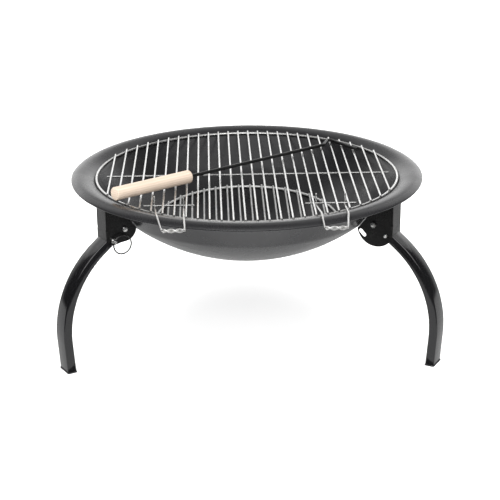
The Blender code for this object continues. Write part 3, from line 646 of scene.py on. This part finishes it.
def sheet_line():
    """The upper face of the pressed sheet in section, from the bowl's middle to its rolled edge."""
    centre = SPHERE - BOWL_DEPTH
    end = math.asin(SPHERE_TOP / SPHERE)

    def on_sphere(angle):
        return SPHERE * math.sin(angle), centre - SPHERE * math.cos(angle)

    rim_start = RIM_RISE - RIM_INNER_ARC + math.sqrt(RIM_INNER_ARC ** 2 - (RIM_CREST - RIM_INNER) ** 2)
    corners = [Vector((r, 0, z)) for r, z in (on_sphere(end * 0.97), on_sphere(end), (SEAT_RADIUS, -SEAT_DROP),
                                              (RIM_INNER, rim_start))]
    line = [on_sphere(end * i / 40) for i in range(40)]
    for bend, bend_radius, steps in ((corners[:3], KNUCKLE_BEND, 8), (corners[1:], SEAT_BEND, 4)):
        line += [(p.x, p.z) for p in rounded(bend, [bend_radius], steps)[1:-1]]
    inner_start = math.pi / 2 + math.asin((RIM_CREST - RIM_INNER) / RIM_INNER_ARC)
    line += arc((RIM_CREST, RIM_RISE - RIM_INNER_ARC), RIM_INNER_ARC, inner_start, math.pi / 2, 14)
    return line + arc((RIM_CREST, RIM_RISE - RIM_OUTER_ARC), RIM_OUTER_ARC, math.pi / 2, math.pi / 2 - RIM_EDGE,
                      14)[1:]


def beneath(line, distance):
    """A section line moved down, square to itself; it starts on the axis."""
    moved = []
    for i, (r, z) in enumerate(line):
        along = (Vector(line[min(i + 1, len(line) - 1)]) - Vector(line[max(i - 1, 0)])).normalized()
        moved.append((max(r + along.y * distance, 0.0) if i else 0.0, z - along.x * distance))
    return moved


def make_bowl(mat):
    """One pressed sheet with an arched rim, closed in section by its rolled hem."""
    upper = sheet_line()
    reach = RIM_OUTER_ARC - HEM
    hem_centre = (RIM_CREST + reach * math.sin(RIM_EDGE), RIM_RISE - RIM_OUTER_ARC + reach * math.cos(RIM_EDGE))
    hem = arc(hem_centre, HEM, math.pi / 2 - RIM_EDGE, math.pi / 2 - RIM_EDGE - HEM_TURN, 16)
    profile = upper + hem[1:] + beneath(upper, SHEET)[-2::-1]
    add_piece("fire_bowl_shell", smooth(revolve(profile, 216), 50), mat, "fire_bowl", "bowl")


def make_cooking_grate(grates, wires, mat, cross_mat):
    mesh = grow(grates, "cooking_grate", [], Ring_radius=GRATE_RADIUS, Ring_wire=RING_WIRE, Bar_wire=BAR_WIRE,
                Bar_count=GRATE_BARS, Bar_pitch=GRATE_PITCH, Bar_rise=BAR_RISE, Bar_overhang=GRATE_OVERHANG,
                Finish=mat)
    add_piece("cooking_grate_welded", smooth(mesh), mat, "cooking_grate_body", "cooking_grate")
    first, last, y = LONG_CROSS
    crosses = [[(first, y, CROSS_RISE), (last, y, CROSS_RISE)]]
    for middle in (-HANDLE_X, HANDLE_X):
        crosses.append([(middle - SHORT_CROSS_HALF, SHORT_CROSS_Y, CROSS_RISE),
                        (middle + SHORT_CROSS_HALF, SHORT_CROSS_Y, CROSS_RISE)])
    # The cross wires take a darkened copy of the bar chrome: painted shade for their dark reflections.
    mesh = grow(wires, "cross_wires", crosses, Wire_radius=BAR_WIRE, Finish=cross_mat)
    add_piece("cooking_grate_cross_wires", smooth(mesh), cross_mat, "cooking_grate_body",
              "cooking_grate")


def make_charcoal_grate(grates, mat):
    """The small grate, leaning a little where its ring rests in the bowl."""
    mesh = grow(grates, "charcoal_grate", [], Ring_radius=COAL_RADIUS, Ring_wire=RING_WIRE, Bar_wire=BAR_WIRE,
                Bar_count=COAL_BARS, Bar_pitch=COAL_PITCH, Bar_rise=BAR_RISE, Bar_overhang=COAL_OVERHANG,
                Finish=mat)
    reach = math.sqrt((SPHERE - RING_WIRE - COAL_GAP) ** 2 - COAL_RADIUS ** 2)
    seat = AXIS + Vector((0, reach * math.sin(COAL_TILT), SPHERE - BOWL_DEPTH - reach * math.cos(COAL_TILT)))
    add_piece("charcoal_grate_welded", smooth(mesh), mat, "charcoal_grate_body", "charcoal_grate",
              Matrix.Translation(seat) @ Matrix.Rotation(COAL_TILT, 4, "X"))


def handle_leg(pivot_x, grip_x):
    """The corners of one leg of a handle: tail, hook, arch over the rim, and grip."""
    slope = math.atan2(ARCH_RISE + HOOK_RADIUS, ARCH_REACH)
    hook_low = -HOOK_RADIUS / math.cos(slope) - HOOK_RADIUS * math.tan(slope)
    arch_x = pivot_x + (grip_x - pivot_x) * ARCH_SHARE
    return [Vector((pivot_x, HOOK_RADIUS, TAIL_HEIGHT)), Vector((pivot_x, HOOK_RADIUS, hook_low)),
            Vector((arch_x, -ARCH_REACH, ARCH_RISE)), Vector((grip_x, -GRIP_REACH, GRIP_RISE))]


def twist_strand(left, right, phase, steps=72):
    points = []
    for share in (i / steps for i in range(steps + 1)):
        angle = phase + 2 * math.pi * TWIST_TURNS * share
        points.append(left.lerp(right, share) + Vector((0, math.cos(angle), math.sin(angle))) * TWIST_RADIUS)
    return points


def make_handle(side, pivot_x, wires, mat):
    """One bent wire hooked under its cross wire, with the two strands of its grip twisted together."""
    shift = GRIP_SHIFT[side]
    left = handle_leg(-HANDLE_WIDTH / 2, shift - GRIP_WIDTH / 2)
    right = handle_leg(HANDLE_WIDTH / 2, shift + GRIP_WIDTH / 2)
    inset = Vector((TWIST_INSET, 0, 0))
    first, second = (twist_strand(left[3] + inset, right[3] - inset, phase) for phase in (math.pi / 2, -math.pi / 2))
    bends = [HOOK_RADIUS, ARCH_BEND]
    main = rounded(left, bends) + first + rounded(right, bends)[::-1]
    other = [left[3].lerp(left[2], TAIL_SHARE)] + second + [right[3].lerp(right[2], TAIL_SHARE)]
    bm = bmesh.new()
    for path, radius in ((main, HANDLE_WIRE), (other, SECOND_WIRE)):
        bm.from_mesh(grow(wires, "handle_wire", [path], Wire_radius=radius, Finish=mat))
    add_piece("grate_handle_wire_" + side, smooth(to_mesh(bm, "handle")), mat, "grate_handle_" + side + "_body",
              "grate_handle_" + side,
              Matrix.Translation(AXIS + Vector((pivot_x, SHORT_CROSS_Y, CROSS_RISE))))


# Poker

def poker_axis():
    return (POKER_BEND - WOOD_END).normalized()


def poker_turn():
    return poker_axis().to_track_quat("Z", "Y").to_matrix()


def make_poker(wires, rod_mat, wood_mat):
    """A bent rod whose tang sits in the bore of a turned grip."""
    tang = WOOD_END + poker_axis() * (WOOD_LENGTH - TANG)
    path = rounded([tang, POKER_BEND, POKER_CORNER, POKER_TIP], POKER_BENDS)
    mesh = grow(wires, "poker_path", [path], Wire_radius=POKER_ROD, Sides=24, Finish=rod_mat)
    add_piece("poker_steel_rod", smooth(mesh), rod_mat, "poker", "poker_rod")
    bore = POKER_ROD + TANG_ROOM[0]
    floor = WOOD_LENGTH - TANG - TANG_ROOM[1]
    profile = [(0, 0)] + arc((WOOD_RADIUS - WOOD_EDGE, WOOD_EDGE), WOOD_EDGE, -math.pi / 2, 0, 6)
    profile += [(WOOD_RADIUS, WOOD_LENGTH * i / 12) for i in range(1, 12)]
    profile += arc((WOOD_RADIUS - WOOD_EDGE, WOOD_LENGTH - WOOD_EDGE), WOOD_EDGE, 0, math.pi / 2, 6)
    profile += [(bore, WOOD_LENGTH), (bore, floor), (0, floor)]
    add_piece("poker_wood_grip", smooth(revolve(profile, 64), 40), wood_mat, "poker", "poker_handle",
              Matrix.Translation(AXIS + WOOD_END) @ poker_turn().to_4x4())


# Legs and brackets

def leg_path(start, end_drop, steps=48):
    """The tube's middle line from behind the pivot to the foot, in the leg's own plane."""
    points = [Vector((distance * math.cos(LEG_SLOPE), 0, -distance * math.sin(LEG_SLOPE)))
              for distance in (start, LEG_STRAIGHT)]
    for i in range(1, steps + 1):
        slope = LEG_SLOPE + (LEG_ARC_END - LEG_SLOPE) * i / steps
        points.append(points[1] + Vector((LEG_ARC * (math.sin(slope) - math.sin(LEG_SLOPE)), 0,
                                          -LEG_ARC * (math.cos(LEG_SLOPE) - math.cos(slope)))))
    floor = PIVOT_DROP - AXIS.z + FOOT_HEIGHT - end_drop
    last = points[-1]
    return points + [Vector((last.x + (floor - last.z) / -math.tan(LEG_ARC_END), 0, floor))]


def pin_notch():
    """The open notch that clears the lock pin as the leg folds, about the pivot."""
    start = -LEG_SLOPE
    seat = (PIN_REACH * math.cos(start), PIN_REACH * math.sin(start))
    return (arc((0, 0), PIN_REACH + HOLE, start, start + FOLD_NOTCH, 16)
            + arc((0, 0), PIN_REACH - HOLE, start + FOLD_NOTCH, start, 16)
            + arc(seat, HOLE, start + math.pi, start + 2 * math.pi, 16)[1:-1])


def make_legs(bars, mat):
    """Three bent tubes, each bored for its bolt and notched for its lock pin."""
    tube = grow(bars, "leg", [leg_path(-LEG_HEEL, 0.0)], Width=LEG_WIDTH, Depth=LEG_DEPTH, Corner=LEG_CORNER,
                Finish=mat)
    hollow = grow(bars, "hollow", [leg_path(-LEG_HEEL - LEG_CUT_OVER, LEG_CUT_OVER)],
                  Width=LEG_WIDTH - 2 * LEG_WALL, Depth=LEG_DEPTH - 2 * LEG_WALL, Corner=LEG_CORNER - LEG_WALL / 2,
                  Finish=mat)
    for tool in (hollow, prism(round_outline((0, 0), BOLT_HOLE), -LEG_WIDTH, LEG_WIDTH),
                 prism(pin_notch(), -LEG_WIDTH, LEG_WIDTH)):
        tube = cut(tube, tool)
    add_at_legs("leg_tube_", smooth(tube, 30), mat, "leg_assembly_", "leg_gloss_black", "leg_",
                PIVOT_R, 0, -PIVOT_DROP)


def bracket_outline():
    """The side outline with the large ear: web, round ear, then just clear of the bowl's underside."""
    centre_r, centre_z, radius = LARGE_EAR
    web_side = math.asin((BRACKET_OUTER - BRACKET_BEND - centre_r) / radius) - math.pi / 2
    ear_end = math.asin(LARGE_EAR_START / radius) - math.pi
    outline = [(BRACKET_OUTER, WEB_TOP), (BRACKET_OUTER, -WEB_BOTTOM)]
    outline += arc((centre_r, centre_z), radius, web_side, ear_end, 48)
    passed = outline[-1][0] + BRACKET_GAUGE / 2
    for r, z in beneath(sheet_line(), SHEET + TOUCH_GAP)[1:-1]:
        if passed < r < BRACKET_OUTER - BRACKET_GAUGE:
            outline.append((r, z))
            passed = r
    return outline


def small_ear_trim():
    """What is cut from one ear to leave the small one, round the pivot and the pin."""
    pivot = Vector((PIVOT_R, -PIVOT_DROP))
    pin = pivot + Vector((math.cos(LEG_SLOPE), -math.sin(LEG_SLOPE))) * PIN_REACH
    down = -LEG_SLOPE - math.pi / 2 + math.asin((SMALL_EAR - SMALL_EAR_PIN) / PIN_REACH)
    curve = arc(pivot, SMALL_EAR, math.radians(-185), down, 32)
    curve += arc(pin, SMALL_EAR_PIN, down, math.radians(-30), 16)
    low = -PIVOT_DROP - 2 * LARGE_EAR[2]
    far_in = PIVOT_R - 3 * SMALL_EAR
    far_out = BRACKET_OUTER + 10 * MM
    return curve + [(far_out, -WEB_BOTTOM - 1 * MM), (far_out, low), (far_in, low), (far_in, curve[0][1])]


def storage_slot():
    half = Vector((math.cos(SLOT_ANGLE), math.sin(SLOT_ANGLE))) * ((SLOT_LENGTH - SLOT_WIDTH) / 2)
    quarter = math.pi / 2
    near, far = Vector(SLOT_CENTRE) + half, Vector(SLOT_CENTRE) - half
    return (arc(near, SLOT_WIDTH / 2, SLOT_ANGLE - quarter, SLOT_ANGLE + quarter, 16)
            + arc(far, SLOT_WIDTH / 2, SLOT_ANGLE + quarter, SLOT_ANGLE + 3 * quarter, 16))


def bend_edges(mesh, r, radius, segments):
    """Rounds the upright edges that lie at one distance from the bowl's axis."""
    bm = bmesh.new()
    bm.from_mesh(mesh)
    edges = [e for e in bm.edges if all(abs(v.co.x - r) < 0.01 * MM for v in e.verts)
             and abs(e.verts[0].co.y - e.verts[1].co.y) < 0.01 * MM]
    bmesh.ops.bevel(bm, geom=edges, offset=radius, segments=segments, profile=0.5, affect="EDGES")
    return to_mesh(bm, "bent")


def relief_notch(side):
    """The small nick cut through a bend, half-way down the web."""
    mesh = block(RELIEF_SIZE)
    mesh.transform(Matrix.Translation((BRACKET_OUTER - RELIEF_INSET, side * (BRACKET_WIDTH / 2 - RELIEF_INSET),
                                       -RELIEF_DROP))
                   @ Matrix.Rotation(side * math.radians(45), 4, "Z") @ Matrix.Rotation(math.radians(45), 4, "Y"))
    return mesh


def make_brackets(mat):
    """Pressed channels in one piece: web, bends, a large ear and a small one, and their holes."""
    half = BRACKET_WIDTH / 2
    inside_r = BRACKET_OUTER - BRACKET_GAUGE
    far_in = PIVOT_R - 3 * SMALL_EAR
    far_out = BRACKET_OUTER + SMALL_EAR
    low = -6 * SMALL_EAR
    room = prism([(far_in, SMALL_EAR), (inside_r, SMALL_EAR), (inside_r, -WEB_BOTTOM), (far_out, -WEB_BOTTOM),
                  (far_out, low), (far_in, low)], BRACKET_GAUGE - half, half - BRACKET_GAUGE)
    margin = 2 * BRACKET_GAUGE
    tools = [bend_edges(room, inside_r, 0.5 * MM, 3), prism(small_ear_trim(), half - margin, half + margin)]
    tools += [prism(round_outline(centre, radius), -BRACKET_WIDTH, BRACKET_WIDTH)
              for centre, radius in (((PIVOT_R, -PIVOT_DROP), BOLT_HOLE), (PIN, HOLE))]
    tools += [prism(storage_slot(), -BRACKET_WIDTH, 0), relief_notch(-1), relief_notch(1)]
    mesh = bend_edges(prism(bracket_outline(), -half, half), BRACKET_OUTER, BRACKET_BEND, 8)
    for tool in tools:
        mesh = cut(mesh, tool)
    add_at_legs("pressed_bracket_", smooth(mesh, 30), mat, "fire_bowl", "leg_gloss_black", "bracket_")


# Fasteners and foot caps, along +Y from the middle of the bracket

def pan_head_bolt():
    """A bolt with thread grooves past its nut and a cross recess in its head."""
    end = -(EAR_FACE + NUT_HEIGHT + TOUCH_GAP + BOLT_PAST_NUT)
    profile = [(0, end), (BOLT_SHANK - BOLT_POINT, end)]
    crest = end + BOLT_POINT
    while crest < -(EAR_FACE + NUT_HEIGHT) - 0.1 * MM:
        profile += [(BOLT_SHANK - THREAD_DEPTH, crest), (BOLT_SHANK, crest + THREAD_PITCH / 2)]
        crest += THREAD_PITCH
    profile += [(BOLT_SHANK, -EAR_FACE), (BOLT_SHANK, EAR_FACE), (HEAD_RADIUS, EAR_FACE)]
    for angle in (math.radians(90 * i / 16) for i in range(16)):
        profile.append((HEAD_RADIUS * math.cos(angle) ** 0.8,
                        EAR_FACE + HEAD_EDGE + (HEAD_HEIGHT - HEAD_EDGE) * math.sin(angle)))
    bolt = turned_part(profile + [(0, EAR_FACE + HEAD_HEIGHT)])
    for turn in (RECESS_TURN, RECESS_TURN + math.pi / 2):
        blade = block(1.0)
        blade.transform(Matrix.Translation((0, EAR_FACE + HEAD_HEIGHT, 0)) @ Matrix.Rotation(turn, 4, "Y")
                        @ Matrix.Diagonal((*RECESS, 1.0)))
        bolt = cut(bolt, blade)
    return soften(bolt, 0.08 * MM, 40, 1)


def hexagon_nut():
    """A nut with its corners turned off at the outer face."""
    low = -(EAR_FACE + NUT_HEIGHT)
    corner = NUT_FLATS / math.sqrt(3)
    past = corner * 1.02
    top = -EAR_FACE + 1 * MM
    nut = prism(round_outline((0, 0), corner, 6), low, low + NUT_HEIGHT)
    crown = turned_part([(0, low), (NUT_FLATS / 2, low), (past, low + NUT_CHAMFER), (past, top), (0, top)], 64)
    nut = cut(nut, crown, "INTERSECT")
    return soften(cut(nut, prism(round_outline((0, 0), BOLT_HOLE), low - NUT_HEIGHT, 0)), 0.1 * MM, 35, 1)


def pull_out_pin():
    """A round-ended pin with a collar, and an eye post drilled for the pull ring."""
    end = -(EAR_FACE + PIN_PAST_EAR)
    collar_top = EAR_FACE + PIN_COLLAR_HEIGHT
    top = collar_top + EYE_HEIGHT
    profile = [(SHANK * math.sin(angle), end + SHANK * (1 - math.cos(angle)))
               for angle in (math.radians(90 * i / 14) for i in range(15))]
    profile += [(SHANK, EAR_FACE), (PIN_COLLAR - COLLAR_EDGE, EAR_FACE), (PIN_COLLAR, EAR_FACE + COLLAR_EDGE),
                (PIN_COLLAR, collar_top - COLLAR_EDGE), (PIN_COLLAR - COLLAR_EDGE, collar_top),
                (EYE_POST, collar_top)]
    profile += arc((EYE_POST - EYE_CROWN, top - EYE_CROWN), EYE_CROWN, 0, math.pi / 2, 8) + [(0, top)]
    drill = turned_part([(0, -EYE_HEIGHT), (EYE_HOLE, -EYE_HEIGHT), (EYE_HOLE, EYE_HEIGHT), (0, EYE_HEIGHT)], 32)
    along = Vector((-math.sin(PULL_ANGLE), 0, math.cos(PULL_ANGLE)))
    turn = Vector((0, 1, 0)).rotation_difference(along).to_matrix().to_4x4()
    drill.transform(Matrix.Translation((0, EYE_SIDE, 0)) @ turn)
    return soften(cut(turned_part(profile), drill), 0.15 * MM, 40)


def make_fasteners(wires, zinc, ring_steel):
    """Bolts and nuts at the pivots, lock pins beyond them, and the pull rings in their eyes."""
    pivot = (PIVOT_R, 0, -PIVOT_DROP)
    add_at_legs("pan_head_bolt_", pan_head_bolt(), zinc, "fire_bowl", "zinc_fastener", "pivot_bolt_", *pivot)
    add_at_legs("hexagon_nut_", hexagon_nut(), zinc, "fire_bowl", "zinc_fastener", "pivot_nut_", *pivot)
    add_at_legs("pull_out_pin_", pull_out_pin(), zinc, "lock_pin_body_", "zinc_fastener", "lock_pin_",
                PIN[0], 0, PIN[1])
    centre = Vector((math.cos(PULL_ANGLE), 0, math.sin(PULL_ANGLE))) * PULL_RING
    loop = [centre + Vector((math.cos(angle), 0, math.sin(angle))) * PULL_RING
            for angle in (2 * math.pi * i / 96 for i in range(96))]
    # The ring takes a darkened copy of the plating: painted shade for its dark outline.
    ring = grow(wires, "pull_ring", [loop], cyclic=True, Wire_radius=PULL_WIRE, Finish=ring_steel)
    add_at_legs("split_ring_", smooth(ring), ring_steel, "pull_ring_body_", "zinc_fastener", "pull_ring_",
                PIN[0], EYE_SIDE, PIN[1])


def make_foot_caps(mat):
    """Moulded push-in caps: a soft-edged plate with a fine step, and a plug inside the leaning tube."""
    levels = []
    for inset, height in CAP_EDGE:
        grown = 2 * (CAP_OVERHANG - inset * MM)
        levels.append((LEG_WIDTH + grown, LEG_DEPTH + grown, CAP_CORNER - inset * MM, height * MM))
    less = 2 * LEG_WALL + 2 * TOUCH_GAP
    levels += [(LEG_WIDTH - less, LEG_DEPTH - less, PLUG_CORNER, height)
               for height in (CAP_PLATE, CAP_PLATE + CAP_PLUG)]
    bm = bmesh.new()
    rows = []
    for width, depth, corner, height in levels:
        lean = max(height - CAP_PLATE, 0.0) / -math.tan(LEG_ARC_END)
        outline = []
        for i, (x, y) in enumerate(((1, 1), (-1, 1), (-1, -1), (1, -1))):
            centre = (x * (depth / 2 - corner) + lean, y * (width / 2 - corner))
            outline += arc(centre, corner, math.pi / 2 * i, math.pi / 2 * (i + 1), 6)
        rows.append([bm.verts.new((x, y, height)) for x, y in outline])
    for lower, upper in zip(rows, rows[1:]):
        for i in range(len(lower)):
            bm.faces.new((lower[i - 1], lower[i], upper[i], upper[i - 1]))
    bm.faces.new(rows[0])
    bm.faces.new(rows[-1])
    bmesh.ops.recalc_face_normals(bm, faces=bm.faces)
    foot = leg_path(0.0, 0.0)[-1]
    add_at_legs("moulded_foot_", smooth(to_mesh(bm, "cap"), 30), mat, "leg_assembly_", "foot_cap_plastic",
                "foot_cap_", PIVOT_R + foot.x, 0, -AXIS.z)


# Stage

def area_light(name, place, target, size, power, mirrored=True):
    light = bpy.data.lights.new(name, "AREA")
    light.shape = "RECTANGLE"
    light.size, light.size_y = size
    light.energy = power
    obj = in_scene(name, light)
    obj.location = place
    obj.rotation_euler = (Vector(target) - Vector(place)).to_track_quat("-Z", "Y").to_euler()
    obj.visible_glossy = mirrored
    obj.visible_camera = False


def sunlight(name, strength, width):
    """Even light from straight above, for the whole floor, that gloss doesn't show."""
    light = bpy.data.lights.new(name, "SUN")
    light.energy = strength
    light.angle = math.radians(width)
    in_scene(name, light).visible_glossy = False


def surroundings():
    """A dark room with a bright wall behind, dimmer higher up, a bright table all round, a dim front and a soft
    dome overhead, by world direction. The camera itself sees it as white."""
    world = bpy.data.worlds.new("studio")
    bpy.context.scene.world = world
    world.use_nodes = True
    tree = world.node_tree
    sky = tree.nodes["Background"]
    sky.inputs["Color"].default_value = WHITE
    here = tree.nodes.new("ShaderNodeTexCoord").outputs["Generated"]
    axes = add_node(tree, "ShaderNodeSeparateXYZ", Vector=here).outputs
    lit = 0.0
    for light, across, top, bottom in (WALL, TABLE, GROUND, FRONT, DOME, HIGH_WALL):
        height = maths(tree, "MULTIPLY", ramp(tree, axes["Z"], *top), ramp(tree, axes["Z"], *bottom))
        area = maths(tree, "MULTIPLY", ramp(tree, axes["Y"], *across, To_Max=light), height)
        lit = maths(tree, "MAXIMUM", area, lit)
    seen = tree.nodes.new("ShaderNodeLightPath").outputs["Is Camera Ray"]
    tree.links.new(maths(tree, "MAXIMUM", maths(tree, "ADD", lit, ROOM_LIGHT), seen), sky.inputs["Strength"])


def make_stage(mat):
    bm = bmesh.new()
    bmesh.ops.create_grid(bm, x_segments=1, y_segments=1, size=30.0)
    floor = in_scene("floor", to_mesh(bm, "floor"))
    floor.data.materials.append(mat)
    floor.visible_glossy = False
    surroundings()
    middle = (0.0, 0.0, 0.2)
    area_light("front_softbox", (0.0, -2.7, 1.8), middle, (2.6, 1.2), 42.0)
    area_light("front_card", (0.0, -0.307, 0.003), (0.0, -0.307, 1.0), (2.4, 0.185), 1.1)
    area_light("front_fill", (0.0, -3.0, 0.8), middle, (3.0, 1.0), 50.0, mirrored=False)
    for side, sign in (("left", -1.0), ("right", 1.0)):
        area_light(side + "_softbox", (sign * 1.6, 1.6, 1.8), middle, (1.4, 1.4), 3.2)
        area_light(side + "_fill", (sign * 3.0, 0.2, 0.8), middle, (3.0, 1.0), 45.0, mirrored=False)
    sunlight("top_fill", 3.6, 70.0)


def make_camera():
    """The photograph's view: 20 degrees above, almost square on, in plain display colours."""
    bpy.context.scene.view_settings.view_transform = "Standard"
    data = bpy.data.cameras.new("photo_camera")
    data.sensor_width = SENSOR_WIDTH
    data.lens = FOCAL_LENGTH * SENSOR_WIDTH / PICTURE_WIDTH
    data.clip_end = 100.0
    level = math.cos(CAMERA_ELEVATION)
    ahead = Vector((math.sin(CAMERA_AZIMUTH) * level, math.cos(CAMERA_AZIMUTH) * level,
                    -math.sin(CAMERA_ELEVATION)))
    right = Vector((math.cos(CAMERA_AZIMUTH), -math.sin(CAMERA_AZIMUTH), 0.0))
    above = right.cross(ahead)
    rolled_right = right * math.cos(CAMERA_ROLL) + above * math.sin(CAMERA_ROLL)
    rolled_up = above * math.cos(CAMERA_ROLL) - right * math.sin(CAMERA_ROLL)
    camera = in_scene("photo_camera", data)
    camera.matrix_world = (Matrix.Translation(AXIS + CAMERA_PLACE)
                           @ Matrix((rolled_right, rolled_up, -ahead)).transposed().to_4x4())
    bpy.context.scene.camera = camera


def build():
    bowl_paint = painted_steel("bowl_enamel", (0.008, 0.008, 0.009), (0.011, 0.011, 0.012), (0.25, 0.31),
                               900.0, 0.10, 0.016, 0.08)
    leg_paint = painted_steel("leg_gloss_black", (0.002, 0.002, 0.0025), (0.004, 0.004, 0.0045), (0.07, 0.12),
                              420.0, 0.08, 0.008, 0.06, coat=0.4)
    bracket_paint = painted_steel("bracket_gloss_black", (0.002, 0.002, 0.002), (0.004, 0.004, 0.004), (0.2, 0.28),
                                  420.0, 0.10, 0.008, 0.05)
    rod_paint = painted_steel("poker_black", (0.003, 0.003, 0.003), (0.005, 0.005, 0.005), (0.3, 0.4),
                              700.0, 0.15, 0.005, 0.1)
    chrome = plated_wire("chrome_wire", (0.76, 0.76, 0.755), (0.64, 0.635, 0.62), (0.24, 0.32), 40.0)
    # Same chrome as the bars, darkened to 0.42: painted shade standing in for the dark reflections on the cross
    # wires.
    shaded_cross_chrome = plated_wire("chrome_cross_wire", (0.42, 0.42, 0.415), (0.33, 0.33, 0.325), (0.24, 0.32), 40.0)
    handle_chrome = plated_wire("chrome_handle_wire", (0.92, 0.92, 0.91), (0.84, 0.83, 0.81), (0.3, 0.38), 40.0)
    coal_chrome = plated_wire("chrome_charcoal_grate", (0.70, 0.70, 0.695), (0.58, 0.58, 0.57), (0.36, 0.46), 40.0,
                              metallic=0.6)
    zinc = plated_wire("zinc_fastener", (0.88, 0.88, 0.86), (0.76, 0.76, 0.75), (0.2, 0.3), 120.0)
    # Plated ring steel darkened to 0.12, far below real steel: painted shade for the ring's dark outline against the
    # bright room.
    ring_steel = plated_wire("split_ring_steel", (0.12, 0.12, 0.118), (0.08, 0.08, 0.078), (0.2, 0.3), 120.0)
    wires, grates = wire_tree(), grate_tree()
    make_bowl(bowl_paint)
    make_cooking_grate(grates, wires, chrome, shaded_cross_chrome)
    make_charcoal_grate(grates, coal_chrome)
    make_handle("left", -HANDLE_X, wires, handle_chrome)
    make_handle("right", HANDLE_X, wires, handle_chrome)
    make_poker(wires, rod_paint, bare_wood())
    make_legs(bar_tree(), leg_paint)
    make_brackets(bracket_paint)
    make_fasteners(wires, zinc, ring_steel)
    make_foot_caps(moulded_plastic())
    make_stage(floor_paper())
    make_camera()


build()
